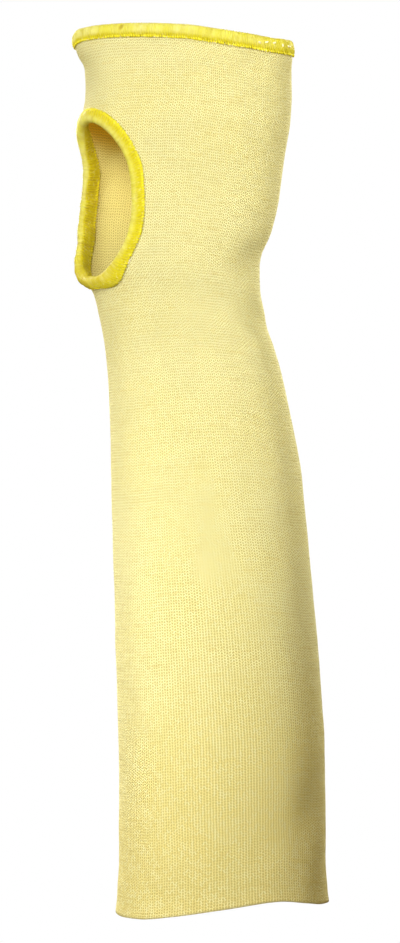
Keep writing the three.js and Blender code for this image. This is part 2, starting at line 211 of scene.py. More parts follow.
# up the sleeve, from one girth, to the next, share of the width, of the depth, lean, sway, swell
SECTIONS = [
    (-0.02, ARM_EDGE, FOREARM, 0, 0, 0, 0, 0),
    (0.013, ARM_EDGE, FOREARM, 0, 0.15, 0, 0, 0),
    (0.054, ARM_EDGE, FOREARM, 1, 0.5, 0, -0.1, 0),
    (0.163, ARM_EDGE, FOREARM, 1, 1, 0.01, -0.3, 0),
    (0.245, FOREARM, WRIST, 0.05, 0.02, 0.07, -0.4, 0),
    (0.328, FOREARM, WRIST, 0.15, 0.1, 0.155, -0.4, 0),
    (0.41, FOREARM, WRIST, 0.275, 0.25, 0.25, -0.3, 0),
    (0.492, FOREARM, WRIST, 0.4, 0.42, 0.345, -0.1, 0),
    (0.547, FOREARM, WRIST, 0.6, 0.58, 0.45, 0.05, 0),
    (0.602, FOREARM, WRIST, 0.8, 0.76, 0.58, 0.15, 0),
    (0.643, FOREARM, WRIST, 0.95, 0.92, 0.73, 0.2, 0),
    (0.684, WRIST, PALM, 0, 0, 0.915, 0.2, 0),
    (0.6975, WRIST, PALM, 0, 0, 0.955, 0.2, 0.06),
    (0.711, WRIST, PALM, 0.01, 0, 0.97, 0.2, 0.52),
    (0.725, WRIST, PALM, 0.045, 0.05, 0.975, 0.22, 0.86),
    (0.7386, WRIST, PALM, 0.12, 0.15, 0.96, 0.25, 0.96),
    (0.766, WRIST, PALM, 0.41, 0.35, 0.9, 0.3, 0.9),
    (0.807, WRIST, PALM, 0.73, 0.6, 0.895, 0.45, 0.42),
    (0.848, WRIST, PALM, 0.88, 0.85, 0.865, 0.6, 0),
    (0.889, WRIST, PALM, 1, 1, 0.79, 0.75, 0),
    (0.917, PALM, HAND_EDGE, -0.4, 0.2, 0.725, 0.85, 0),
    (0.937, PALM, HAND_EDGE, -0.5, 0.35, 0.71, 0.9, 0),
    (0.954, PALM, HAND_EDGE, -0.4, 0.58, 0.72, 0.95, 0),
    (0.966, PALM, HAND_EDGE, 0.6, 0.8, 0.775, 1, 0),
    (0.979, PALM, HAND_EDGE, 1, 0.95, 0.83, 1, 0),
    (1.01, PALM, HAND_EDGE, 1, 1, 0.835, 1, 0),
]
# angle round the sleeve, up, turn, run, breadth, rise
FOLDS = [
    (150, 0.727, 25, 0.3, 0.9, -1.0),
    (140, 0.692, -20, 0.35, 0.6, 0.5),
    (150, 0.668, -15, 0.35, 0.7, -0.8),
    (40, 0.69, 15, 0.25, 0.7, -0.6),
    (95, 0.966, 0, 0.25, 0.6, -0.35),
    (125, 0.955, -5, 0.5, 0.7, -0.5),
    (15, 0.935, 80, 0.2, 0.7, -0.6),
    (140, 0.105, 40, 0.35, 1.0, -0.8),
    (128, 0.075, 60, 0.3, 0.9, 0.5),
    (150, 0.06, 60, 0.3, 1.0, 0.5),
]
ARM_EDGE_LINE = [
    (0, -0.55), (23, -0.77), (40, -0.75), (62, -0.36), (90, 0.36), (122, 1.0),
    (140, 0.7), (158, 0.4), (185, 0.35), (225, 0.0), (270, -0.2), (320, -0.35),
]
HAND_EDGE_LINE = [
    (0, -0.5), (19, -0.21), (62, 0.0), (90, -0.11), (107, -0.39), (125, -0.68),
    (150, -0.98), (180, -1.0), (225, -0.9), (270, -0.8), (315, -0.7),
]
print(len(SECTIONS), "rows of ovals and", len(FOLDS), "folds")


# %% A smooth curve through rows
def through(xs, ys):
    """A curve through the rows of a table that never overshoots them."""
    xs, ys = np.array(xs, float), np.array(ys, float)
    slopes = np.diff(ys) / np.diff(xs)
    before, after = slopes[:-1], slopes[1:]
    same = before * after > 0
    middle = np.where(same, 2 * before * after / np.where(same, before + after, 1), 0)
    tangents = np.concatenate([[0], middle, [0]])

    def curve(x):
        i = np.clip(np.searchsorted(xs, x, side="left") - 1, 0, len(xs) - 2)
        step = xs[i + 1] - xs[i]
        s = np.clip((x - xs[i]) / step, 0, 1)
        bend = step * (tangents[i] * (1 - s) - tangents[i + 1] * s)
        return ys[i] + (ys[i + 1] - ys[i]) * s * s * (3 - 2 * s) + bend * s * (1 - s)

    return curve


def round_turn(rows):
    """The same round a full turn, where the last row leads into the first."""
    curve = through(
        [angle + turn for turn in (-360, 0, 360) for angle, _ in rows],
        [rise for _ in range(3) for _, rise in rows],
    )
    return lambda angle: curve(np.mod(angle, 360))


def up_sleeve(value):
    """A measure that changes up the sleeve, from a rule for one row of the table."""
    return through([row[0] * SLEEVE_LENGTH for row in SECTIONS], [value(row) for row in SECTIONS])


width_at = up_sleeve(lambda row: row[1][0] + (row[2][0] - row[1][0]) * row[3])
depth_at = up_sleeve(lambda row: row[1][1] + (row[2][1] - row[1][1]) * row[4])
lean_at = up_sleeve(lambda row: row[5] * SIDE_LEAN)
sway_at = up_sleeve(lambda row: row[6] * BACK_SWAY)
swell_at = up_sleeve(lambda row: row[7] * THUMB_SWELL)
arm_line = round_turn(ARM_EDGE_LINE)
hand_line = round_turn(HAND_EDGE_LINE)
print("wrist is", float(width_at(240.0)), "mm wide")


# %% Points of the surface
def arm_edge_height(angle):
    """Where the wavy edge of the arm end runs."""
    return arm_line(angle) * ARM_EDGE_WAVE


def hand_edge_height(angle):
    """Where the cloth ends at the hand, under its thread."""
    return SLEEVE_LENGTH + hand_line(angle) * HAND_EDGE_WAVE - THREAD - CLEARANCE


def relief(angle, height):
    """How far the folds and the rolled arm edge lift the surface."""
    radius = (width_at(height) + depth_at(height)) / 4
    lift = 0
    for at, up, turn, run, breadth, rise in FOLDS:
        away = np.radians(np.mod(angle - at + 180, 360) - 180) * radius
        above = height - up * SLEEVE_LENGTH
        c, s = math.cos(math.radians(turn)), math.sin(math.radians(turn))
        along = (away * c + above * s) / (run * WRIST[0])
        across = (above * c - away * s) / (breadth * FOLD_BREADTH)
        lift = lift + rise * FOLD_RISE * np.exp(-along * along - across * across)
    above_edge = (height - arm_edge_height(angle)) / ARM_EDGE_ROLL_HEIGHT
    return lift + ARM_EDGE_ROLL * np.exp(-above_edge * above_edge)


def surface_point(angle, height):
    """A point of the outer surface. Angle 0 is the thumb side and 90 the front."""
    c, s = np.cos(np.radians(angle)), np.sin(np.radians(angle))
    half_width = width_at(height) / 2 + np.where(c > 0, swell_at(height), 0)
    half_depth = depth_at(height) / 2
    outward = np.stack([-c * half_depth, -s * half_width], -1)
    outward /= np.linalg.norm(outward, axis=-1, keepdims=True)
    lift = relief(angle, height)
    x = -lean_at(height) - half_width * c + outward[..., 0] * lift
    y = sway_at(height) - half_depth * s + outward[..., 1] * lift
    return np.stack([x, y, height + 0 * x], -1)


def surface_slopes(angle, height):
    """Its slopes by angle and by height, and its outward normal."""
    around = surface_point(angle + 0.5, height) - surface_point(angle - 0.5, height)
    up = surface_point(angle, height + 0.5) - surface_point(angle, height - 0.5)
    normal = np.cross(around, up)
    return around, up, normal / np.linalg.norm(normal, axis=-1, keepdims=True)


def wall_point(angle, height, lift):
    """A point over the outer surface, or inside it where the lift is negative."""
    return surface_point(angle, height) + surface_slopes(angle, height)[2] * np.asarray(lift)[..., None]


def hole_edge(turn):
    """The thumb hole's edge, from its upper end round by the near lip."""
    along, across = np.cos(turn), np.sin(turn)
    upper = HOLE_HEIGHT * HOLE_UPPER_SHARE
    reach = np.where(along > 0, upper, HOLE_HEIGHT - upper)
    point = HOLE_UPPER_POINT + (HOLE_LOWER_POINT - HOLE_UPPER_POINT) * (1 - along) / 2
    side = np.where(across > 0, HOLE_NEAR_ANGLE - HOLE_END_ANGLE, HOLE_END_ANGLE - HOLE_FAR_ANGLE)
    opened = np.sign(across) * np.abs(across) ** point
    return HOLE_END_ANGLE + side * opened, HOLE_LEVEL + reach * along


hole_low, hole_high = (round(float(hole_edge(np.array(turn))[1]), 1) for turn in (math.pi, 0.0))
print("thumb hole from", hole_low, "to", hole_high, "mm")

# %% [markdown]
# ## The knit
# The fabric is a plain knit: columns of stitches, called wales, run up the arm, and rows of them,
# called courses, run round it. Each wale is a rib with two legs, so the mesh has four columns of
# points to a wale, at a valley, a leg, the dip between and the other leg. The ribs are then real
# relief that catches the light at the sides, and only the single stitches are left to the finish.
# A Solidify modifier could give the wall its thickness, but here the inner face is built as well,
# because its ribs lie the other way and the hole's edge has to close cleanly.

# %% Where the wales and courses run
WALES = 114
COURSES = 318
COLUMNS_PER_WALE = 4
FRONT_ANGLE = 100
# height from, height to and rows of points between them, as shares of the sleeve's length
ROW_ZONES = [(0, 0.018, 6), (0.018, 0.66, 54), (0.66, 0.92, 35), (0.92, 1, 13)]
# up the sleeve, and how much wider than the mean a wale is at the front
FRONT_GAUGE = [(-0.02, 0.1), (0.3, 0.08), (0.55, -0.02), (0.8, -0.08), (1.01, -0.08)]

columns = WALES * COLUMNS_PER_WALE
levels = np.concatenate([np.linspace(a, b, n, endpoint=False) for a, b, n in ROW_ZONES] + [[1.0]])
front_gauge = through([up for up, _ in FRONT_GAUGE], [more for _, more in FRONT_GAUGE])


def wale_angles(level, count):
    """Angles of evenly counted columns round one row, spaced by length round the sleeve."""
    angle = np.linspace(0, 360, 1441)
    height = arm_edge_height(angle) * (1 - level) + hand_edge_height(angle) * level
    points = surface_point(angle, height)
    steps = np.linalg.norm(np.diff(points, axis=0), axis=1)
    middle = np.radians((angle[1:] + angle[:-1]) / 2 - FRONT_ANGLE)
    weight = steps / (1 + float(front_gauge(level)) * np.cos(middle))
    travelled = np.concatenate([[0], np.cumsum(weight)])
    return np.interp(np.arange(count) / count * travelled[-1], travelled, angle)


column_angle = np.array([wale_angles(level, columns) for level in levels])
column_height = (
    arm_edge_height(column_angle) * (1 - levels[:, None]) + hand_edge_height(column_angle) * levels[:, None]
)
print(len(levels), "rows by", columns, "columns")

# %% [markdown]
# ## The thumb hole
# On the real sleeve the hole is a slit through the knit, and its raw edge is bound afterwards. A
# Boolean would leave slivers among ribs as fine as these, so the faces inside the hole's outline are
# left out of the grid, and the points on the ragged rim are moved to the outline.


# %% Cutting the thumb hole
HOLE_RADIUS = 30  # of the sleeve near the hole, which weighs an angle against a height


def hole_loop(count):
    """Points of the hole's edge, evenly spaced."""
    turn = np.linspace(0, 2 * math.pi, 40 * count + 1)
    angle, height = hole_edge(turn)
    steps = np.linalg.norm(np.diff(surface_point(angle, height), axis=0), axis=1)
    travelled = np.concatenate([[0], np.cumsum(steps)])
    even = np.interp(np.arange(count) / count * travelled[-1], travelled, turn)
    return hole_edge(even)


def inside_loop(x, y, loop_x, loop_y):
    """True where a point lies inside a closed outline."""
    inside = np.zeros(np.shape(x), bool)
    for x0, y0, x1, y1 in zip(loop_x, loop_y, np.roll(loop_x, -1), np.roll(loop_y, -1)):
        crosses = (y0 > y) != (y1 > y)
        inside ^= crosses & (x < (x1 - x0) * (y - y0) / (y1 - y0 + (y1 == y0)) + x0)
    return inside


loop_angle, loop_height = hole_loop(400)
signed_angle = np.where(column_angle > 180, column_angle - 360, column_angle)
next_angle = np.append(column_angle[:, 1:], np.full((len(levels), 1), 360.0), axis=1)
middle_angle = (column_angle + next_angle) / 2
middle_angle = (middle_angle[:-1] + middle_angle[1:]) / 2
middle_angle = np.where(middle_angle > 180, middle_angle - 360, middle_angle)
middle_height = (column_height[:-1] + column_height[1:]) / 2
cut = inside_loop(middle_angle, middle_height, loop_angle, loop_height)

# points on the ragged rim of the cut move to the outline, so the edge is smooth under its thread
touched = np.zeros(column_angle.shape, int)
for rows, turn in ((slice(0, -1), 0), (slice(1, None), 0), (slice(0, -1), 1), (slice(1, None), 1)):
    touched[rows] += np.roll(cut, turn, axis=1)
rim = (touched > 0) & (touched < 4)
scale = np.radians(1) * HOLE_RADIUS
for j, i in zip(*np.nonzero(rim)):
    away = (loop_angle - signed_angle[j, i]) * scale
    nearest = np.argmin(away * away + (loop_height - column_height[j, i]) ** 2)
    column_angle[j, i], column_height[j, i] = np.mod(loop_angle[nearest], 360), loop_height[nearest]
print("faces cut out:", int(cut.sum()), "rim points:", int(rim.sum()))

# %% [markdown]
# ## Ribs and uneven cloth
# A worn sleeve isn't quite even: wales stand a little higher or lower, and most where the cloth is
# slack, towards the arm end and on the little finger's side. A Displace modifier with a texture could
# do it, but the ribs are worked out point by point anyway, so the unevenness is added with them.


# %% Soft waves and patches
def cloudy(seed, cells_up, cells_round):
    """Soft random waves over the cloth, from -1 to 1, that meet round the sleeve."""
    lattice = np.random.default_rng(seed).uniform(-1, 1, (cells_up + 2, cells_round))
    v = levels[:, None] * cells_up + 0 * column_angle
    u = np.arange(columns)[None, :] / columns * cells_round + 0 * column_angle
    j, i = v.astype(int), u.astype(int)
    t, s = v - j, u - i
    t, s = t * t * (3 - 2 * t), s * s * (3 - 2 * s)
    i, k = i % cells_round, (i + 1) % cells_round
    return (lattice[j, i] * (1 - s) + lattice[j, k] * s) * (1 - t) + (
        lattice[j + 1, i] * (1 - s) + lattice[j + 1, k] * s
    ) * t


def around_place(angle, level, wide, tall):
    """A soft patch of the cloth: 1 at its middle, 0 away from it."""
    turned = (column_angle + 180 - angle) % 360 - 180
    return np.exp(-((turned / wide) ** 2) - ((levels[:, None] - level) / tall) ** 2)


print("waves ready for", columns * len(levels), "points")

# %% Ribs and uneven cloth
RIB = 0.13  # how high a wale's legs stand over the valleys
RIB_PROFILE = np.array([0, 0.95, 0.3, 1.0])
RIB_UNEVEN, RIB_SLACK, RIB_FAR = 0.25, 0.55, 0.7  # shares that the ribs grow by
UNEVEN, UNEVEN_FINE = 0.14, 0.06

slack_end = np.clip((0.47 - levels[:, None]) / 0.35, 0, 1)
far_side = around_place(150, 0.4, 45, 0.8)
rib = RIB * np.tile(RIB_PROFILE, WALES)[None, :] * (1 + RIB_UNEVEN * cloudy(5, 60, WALES))
rib = rib * (1 + RIB_SLACK * slack_end + RIB_FAR * far_side)
uneven = UNEVEN * cloudy(7, 30, 24) + UNEVEN_FINE * cloudy(8, 110, 38)
outer = wall_point(column_angle, column_height, rib + uneven - 0.5 * RIB)
inner = wall_point(column_angle, column_height, -WALL - 0.6 * (RIB - rib) + uneven)
print("ribs", RIB, "mm high; cloth uneven by", round(float(uneven.max() - uneven.min()), 2), "mm")

# %% [markdown]
# ## From points to a mesh
# The grid becomes four-sided faces: an outer and an inner skin, and narrow walls that close them
# along the two ends and round the hole. One map counts wales and courses, so that the finish can draw
# each stitch on its rib, and a second one gives both skins a place of their own for the bake.

# %% Faces of the knit
rows = len(levels)
index = np.arange(rows * columns).reshape(rows, columns)
inner_index = index + rows * columns


def quads(table, flip):
    """The faces of one skin, without those in the hole."""
    a, b = table[:-1], np.roll(table, -1, axis=1)[:-1]
    c, d = np.roll(table, -1, axis=1)[1:], table[1:]
    corners = np.stack([d, c, b, a] if flip else [a, b, c, d], -1)
    return corners[~cut]


def edge_walls():
    """Faces that join the outer and inner face along the arm edge, the hand edge and the hole."""
    found = []
    for i in range(columns):
        k = (i + 1) % columns
        found.append((index[0, k], index[0, i], inner_index[0, i], inner_index[0, k]))
        found.append((index[-1, i], index[-1, k], inner_index[-1, k], inner_index[-1, i]))
    for j, i in zip(*np.nonzero(cut)):
        k = (i + 1) % columns
        if not cut[j - 1, i]:
            a, b = index[j, i], index[j, k]
            found.append((a, b, inner_index[j, k], inner_index[j, i]))
        if not cut[j + 1, i]:
            a, b = index[j + 1, k], index[j + 1, i]
            found.append((a, b, inner_index[j + 1, i], inner_index[j + 1, k]))
        if not cut[j, (i - 1) % columns]:
            a, b = index[j + 1, i], index[j, i]
            found.append((a, b, inner_index[j, i], inner_index[j + 1, i]))
        if not cut[j, k]:
            a, b = index[j, k], index[j + 1, k]
            found.append((a, b, inner_index[j + 1, k], inner_index[j, k]))
    return np.array(found)


outer_faces, inner_faces, walls = quads(index, False), quads(inner_index, True), edge_walls()
faces = np.concatenate([outer_faces, inner_faces, walls])
print("faces:", len(outer_faces), len(inner_faces), len(walls))


# %% Making a mesh from points and faces
def make_piece(name, points, faces):
    """A smooth mesh object at the origin, from points in millimetres."""
    mesh = bpy.data.meshes.new(name)
    mesh.from_pydata((points * MM).tolist(), [], faces if isinstance(faces, list) else faces.tolist())
    mesh.polygons.foreach_set("use_smooth", [True] * len(mesh.polygons))
    mesh.update()
    piece = bpy.data.objects.new(name, mesh)
    bpy.context.scene.collection.objects.link(piece)
    return piece


def add_map(piece, name, places):
    """A UV map from one place for each face corner."""
    layer = piece.data.uv_layers.new(name=name)
    layer.data.foreach_set("uv", np.asarray(places, float).ravel())


def add_values(piece, name, values):
    """A number for each point, which a finish can read by its name."""
    layer = piece.data.attributes.new(name, "FLOAT", "POINT")
    layer.data.foreach_set("value", np.asarray(values, float).ravel())


def drop_loose_points(piece):
    """The points inside the hole, which no face uses, are deleted."""
    bpy.ops.object.select_all(action="DESELECT")
    bpy.context.view_layer.objects.active = piece
    piece.select_set(True)
    bpy.ops.object.mode_set(mode="EDIT")
    bpy.ops.mesh.select_all(action="SELECT")
    bpy.ops.mesh.delete_loose(use_verts=True, use_edges=True, use_faces=False)
    bpy.ops.object.mode_set(mode="OBJECT")
    piece.select_set(False)


knit = make_piece("knit_tube", np.concatenate([outer.reshape(-1, 3), inner.reshape(-1, 3)]), faces)
print(knit.name, "has", len(knit.data.vertices), "points")

# %% The knit's maps
OUTER_STRIP, INNER_STRIP = (0.01, 0.61), (0.64, 0.35)  # start and breadth in the bake's map

flat_faces = faces % (rows * columns)
face_u = (flat_faces % columns).astype(float)
wraps = (face_u.max(1) - face_u.min(1)) > columns / 2
face_u[wraps] = np.where(face_u[wraps] < columns / 2, face_u[wraps] + columns, face_u[wraps])
face_v = levels[flat_faces // columns]
is_inner = (faces >= rows * columns).all(1)[:, None]
add_map(knit, "Stitches", np.stack([face_u / COLUMNS_PER_WALE, face_v * COURSES], -1))
starts, breadths = (np.where(is_inner, b, a) for a, b in zip(OUTER_STRIP, INNER_STRIP))
bake_v = starts + breadths * face_u / columns
add_map(knit, "OFBake", np.stack([0.002 + 0.996 * face_v, bake_v], -1))
add_values(knit, "inside", np.repeat([0.0, 1.0], rows * columns))
# the gaps' bump and painted shade are weaker on the thumb side, which faces the light, and stronger on the
# other side, where the light grazes the cloth
gap_depth_and_shade = 1 - 0.22 * around_place(20, 0.2, 45, 0.5) + 0.12 * around_place(150, 0.2, 50, 0.6)
add_values(knit, "gap_depth_and_shade", np.tile(gap_depth_and_shade.ravel(), 2))
add_values(knit, "thumb_side", np.tile(around_place(12, 0.2, 26, 0.22).ravel(), 2))
drop_loose_points(knit)
print(knit.name, len(knit.data.polygons), "faces,", 2 * len(knit.data.polygons), "triangles")

# %% [markdown]
# ## The knit's finish
# A stitch is a V: two legs of yarn that rise from the wale's middle to its sides. Modelled, 36,000 of
# them would be far too heavy, so a node group draws them on the map that counts wales and courses. It
# gives a height for the bump and a mask for painted shade in the gaps between the legs. Inside, the
# same yarn shows its other face, with short arcs across the wales.


# %% Node helpers
class Tree:
    """Short words for building a node tree."""

    def __init__(self, tree):
        self.tree = tree

    def add(self, kind, settings=None, **inputs):
        node = self.tree.nodes.new(kind)
        for name, value in (settings or {}).items():
            setattr(node, name, value)
        for name, value in inputs.items():
            self.set(node.inputs[name.replace("_", " ")], value)
        return node

    def set(self, socket, value):
        if isinstance(value, bpy.types.NodeSocket):
            self.tree.links.new(value, socket)
        else:
            socket.default_value = value

    def math(self, operation, *values, clamp=False):
        node = self.add("ShaderNodeMath", {"operation": operation, "use_clamp": clamp})
        for socket, value in zip(node.inputs, values):
            self.set(socket, value)
        return node.outputs[0]

    def times(self, first, second, clamp=False):
        return self.math("MULTIPLY", first, second, clamp=clamp)

    def plus(self, first, second):
        return self.math("ADD", first, second)

    def minus(self, first, second):
        return self.math("SUBTRACT", first, second)

    def power(self, first, second):
        return self.math("POWER", first, second)

    def mix(self, factor, first, second):
        node = self.add("ShaderNodeMix", {"data_type": "RGBA"})
        for socket, value in zip((node.inputs[0], node.inputs[6], node.inputs[7]), (factor, first, second)):
            self.set(socket, value)
        return node.outputs[2]

    def ramp(self, value, low, high, to_low=0.0, to_high=1.0):
        node = self.add("ShaderNodeMapRange", {"interpolation_type": "SMOOTHSTEP"})
        for socket, number in zip(node.inputs, (value, low, high, to_low, to_high)):
            self.set(socket, number)
        return node.outputs[0]

    def noise(self, vector, scale, detail=2.0, roughness=0.5):
        node = self.add("ShaderNodeTexNoise", Scale=scale, Detail=detail, Roughness=roughness)
        self.set(node.inputs["Vector"], vector)
        return node.outputs[0]

    def stretched(self, vector, scale):
        return self.add("ShaderNodeMapping", Vector=vector, Scale=scale).outputs[0]

    def value(self, name):
        """What a piece's points say under this name."""
        return self.add("ShaderNodeAttribute", {"attribute_name": name}).outputs["Fac"]


print("node helpers ready")


# %% Groups, finishes and colours
def new_group(name, inputs, outputs):
    """An empty shader node group with named sockets."""
    group = bpy.data.node_groups.new(name, "ShaderNodeTree")
    for label, kind in inputs:
        group.interface.new_socket(label, in_out="INPUT", socket_type=kind)
    for label, kind in outputs:
        group.interface.new_socket(label, in_out="OUTPUT", socket_type=kind)
    tree = Tree(group)
    return group, tree, tree.add("NodeGroupInput"), tree.add("NodeGroupOutput")


def new_finish(name):
    """A material with its tree and its Principled BSDF."""
    finish = bpy.data.materials.new(name)
    finish.use_nodes = True
    return finish, Tree(finish.node_tree), finish.node_tree.nodes["Principled BSDF"]


def rgb(*screen):
    """A colour from its three screen numbers."""
    return tuple(((c / 255 + 0.055) / 1.055) ** 2.4 if c > 10 else c / 255 / 12.92 for c in screen) + (1,)


print("helpers for groups and finishes ready")

# %% Group: knit stitches, the legs
LEAST_SLANT, MORE_SLANT = 0.62, 1.0  # how far a leg climbs over half a wale, in courses
OUT_OF_LINE = 0.28  # of a course, from one column of legs to the next

stitches, t, given, out = new_group(
    "knit_stitches",
    [("Map", "NodeSocketVector"), ("Inside", "NodeSocketFloat")],
    [("Height", "NodeSocketFloat"), ("Gap", "NodeSocketFloat"), ("Yarn", "NodeSocketFloat")],
)
parts = t.add("ShaderNodeSeparateXYZ", Vector=given.outputs["Map"])
u, v = parts.outputs[0], parts.outputs[1]
wobble = t.times(t.minus(t.noise(given.outputs["Map"], 0.9), 0.5), 0.35)
u_bent = t.plus(u, t.times(wobble, 0.6))
leg_column = t.math("FLOOR", t.times(u_bent, 2.0))
across = t.times(t.math("ABSOLUTE", t.minus(t.math("FRACT", u_bent), 0.5)), 2.0)
# the legs stand steeper in some places than in others, and each column sits a little out of line
steep = t.plus(LEAST_SLANT, t.times(t.noise(given.outputs["Map"], 0.13, 1.0), MORE_SLANT))
shift = t.add("ShaderNodeTexWhiteNoise", {"noise_dimensions": "1D"}, W=leg_column)
shift = t.times(shift.outputs["Value"], OUT_OF_LINE)
slant = t.minus(t.plus(t.plus(v, wobble), shift), t.times(across, steep))
loop = t.math("SINE", t.times(t.math("FRACT", slant), math.pi))
# the yarn dips between two wales and in the middle of each, so a stitch leaves two dots of shadow
dot = t.power(t.math("ABSOLUTE", t.minus(t.times(across, 2.0), 1.0)), 1.4)
dot = t.times(dot, t.plus(0.8, t.times(across, 0.2)))
dip = t.minus(1.0, t.power(loop, 0.9))
face_height = t.minus(1.0, t.times(dip, t.plus(0.35, t.times(dot, 0.65))))
print("legs climb", LEAST_SLANT, "courses or more")

# %% Group: knit stitches, the gaps
SLACK_FROM, SLACK_FULL = 150.0, 40.0  # courses up from the arm end

# each half stitch has a number of its own, for its tint and for how open its gap is
half_stitch = t.add("ShaderNodeCombineXYZ", X=leg_column, Y=t.math("FLOOR", slant))
single = t.add("ShaderNodeTexWhiteNoise", {"noise_dimensions": "2D"}, Vector=half_stitch.outputs[0])
single = single.outputs["Value"]
swing = t.plus(0.25, t.times(dot, 1.45))
swing = t.times(swing, t.plus(0.72, t.times(single, 0.56)))
between = t.minus(t.minus(1.0, t.power(loop, 1.3)), 0.33)
# towards the arm end the cloth is slacker, so its wales stand apart and its gaps are deeper
slack = t.ramp(v, SLACK_FROM, SLACK_FULL)
between = t.times(t.times(between, swing), t.plus(1.0, t.times(slack, 0.7)))
between = t.plus(between, t.times(dot, t.plus(0.42, t.times(slack, 0.85))))
between = t.plus(between, t.minus(0.11, t.times(slack, 0.32)))
t.set(out.inputs["Gap"], t.ramp(between, 0.08, 0.85))
t.set(out.inputs["Yarn"], single)
print("gaps widen below course", SLACK_FROM)

# %% Group: knit stitches, the inner face
ARC_RISE, ARC_SHARE = 0.25, 0.35  # how far an arc bends, in courses, and how much it shows

arc = t.plus(v, t.times(t.math("COSINE", t.times(u_bent, 2 * math.pi)), ARC_RISE))
arc_height = t.power(t.math("SINE", t.times(t.math("FRACT", arc), math.pi)), 0.6)
blended = t.add("ShaderNodeMix", {"data_type": "FLOAT"})
t.set(blended.inputs[0], t.times(given.outputs["Inside"], ARC_SHARE))
t.set(blended.inputs[2], face_height)
t.set(blended.inputs[3], arc_height)
t.set(out.inputs["Height"], blended.outputs[0])
print("group", stitches.name)

# %% Finish: pale yellow knit, its colours
YARN = rgb(252, 246, 172)
YARN_PALE = rgb(254, 252, 192)
YARN_DEEP = rgb(226, 202, 96)
YARN_SHADE = rgb(184, 160, 58)  # painted shade down in the gaps, and the darker tint of some half stitches
YARN_GREY = rgb(214, 204, 146)  # courses pulled tight at the thumb side
YARN_INSIDE = rgb(250, 240, 158)  # light comes through the cloth
YARN_AMBER_SHADE = rgb(255, 204, 26)  # painted shade, deep under the thumb hole's edge
GAP_DARKNESS = 0.76

knit_finish, t, shader = new_finish("pale_yellow_knit")
stitch_map = t.add("ShaderNodeUVMap", {"uv_map": "Stitches"}).outputs[0]
inside, side, gap_depth_and_shade = t.value("inside"), t.value("thumb_side"), t.value("gap_depth_and_shade")
drawn = t.add("ShaderNodeGroup", {"node_tree": stitches}, Map=stitch_map, Inside=inside)
place = t.add("ShaderNodeTexCoord").outputs["Object"]
up = t.add("ShaderNodeSeparateXYZ", Vector=place).outputs[2]
# paler clouds, slubs a few wales long, and a deeper yellow towards the arm end, painted shade for the warmer,
# darker foot
colour = t.mix(t.ramp(t.noise(place, 22.0, 3.0), 0.35, 0.68, 0.0, 0.5), YARN, YARN_PALE)
slubs = t.noise(t.stretched(stitch_map, (0.16, 0.8, 1)), 1.0, 3.0, 0.65)
colour = t.mix(t.ramp(slubs, 0.52, 0.74, 0.0, 0.3), colour, YARN_DEEP)
colour = t.mix(t.ramp(slubs, 0.46, 0.3, 0.0, 0.5), colour, YARN_PALE)
colour = t.mix(t.ramp(up, 0.13, 0.01, 0.0, 0.35), colour, YARN_DEEP)
# no two half stitches have quite the same tint
single_tint = t.minus(drawn.outputs["Yarn"], 0.5)
colour = t.mix(t.times(single_tint, 1.2, clamp=True), colour, YARN_PALE)
colour = t.mix(t.times(single_tint, -0.25, clamp=True), colour, YARN_SHADE)
streaks = t.noise(t.stretched(stitch_map, (0.14, 0.8, 1)), 1.0, 3.0, 0.6)
colour = t.mix(t.times(side, t.ramp(streaks, 0.5, 0.62, 0.0, 0.3)), colour, YARN_GREY)
# painted light: the inner face is tinted as if lit through the cloth; and painted amber shade behind the thumb
# hole's upper end
colour = t.mix(t.times(inside, 0.85), colour, YARN_INSIDE)
amber = t.times(t.ramp(up, 0.3, 0.313, 0.0, 0.9), t.ramp(up, 0.324, 0.336, 1.0, 0.0))
colour = t.mix(t.times(inside, amber), colour, YARN_AMBER_SHADE)
# painted shade down in the gaps between the legs, darker where the gaps are deeper
shade = t.times(t.times(drawn.outputs["Gap"], gap_depth_and_shade), GAP_DARKNESS, clamp=True)
t.set(shader.inputs["Base Color"], t.mix(shade, colour, YARN_SHADE))
print("finish", knit_finish.name)

# %% Finish: pale yellow knit, its surface
STITCH_DEPTH = 0.00058  # metres

shader.inputs["Roughness"].default_value = 0.85
shader.inputs["Sheen Weight"].default_value = 0.05
shader.inputs["Sheen Roughness"].default_value = 0.5
shader.inputs["Specular IOR Level"].default_value = 0.2
fibres = t.noise(place, 2600.0, 2.0)
wrinkles = t.noise(t.stretched(stitch_map, (0.07, 0.24, 1)), 1.0, 2.0, 0.5)
wrinkles = t.times(side, t.ramp(wrinkles, 0.4, 0.62, 0.0, 0.4))
bump_height = t.plus(t.times(drawn.outputs["Height"], gap_depth_and_shade), t.times(fibres, 0.25))
bump_height = t.plus(bump_height, wrinkles)
bump = t.add("ShaderNodeBump", Strength=1.0, Distance=STITCH_DEPTH, Height=bump_height)
t.set(shader.inputs["Normal"], bump.outputs[0])
knit.data.materials.append(knit_finish)
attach(knit, "root")
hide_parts("knit_sleeve")
print(knit.name, "stands for knit_sleeve")

# %% [markdown]
# ## The wrapped thread edges
# An overlock machine wraps thread round a cut edge: it lies in a fat roll over the edge, and where the
# needle goes down it makes a row of small tight teeth. The roll is swept along the edge with a ridge
# for every wrap, lies just clear of the cloth on both faces, and its border runs in and out with the
# wraps. A curve with a round bevel could be swept along the edge too, but it would have no ridges.


# %% Paths along an edge
def even_path(angle, height, count):
    """A closed path of surface places, spaced evenly."""
    points = surface_point(angle, height)
    steps = np.linalg.norm(np.roll(points, -1, axis=0) - points, axis=1)
    travelled = np.concatenate([[0], np.cumsum(steps)])
    places = np.arange(count) / count * travelled[-1]
    return (
        np.interp(places, travelled, np.append(angle, angle[0] + np.round((angle[-1] - angle[0]) / 360) * 360)),
        np.interp(places, travelled, np.append(height, height[0])),
        travelled[-1],
    )


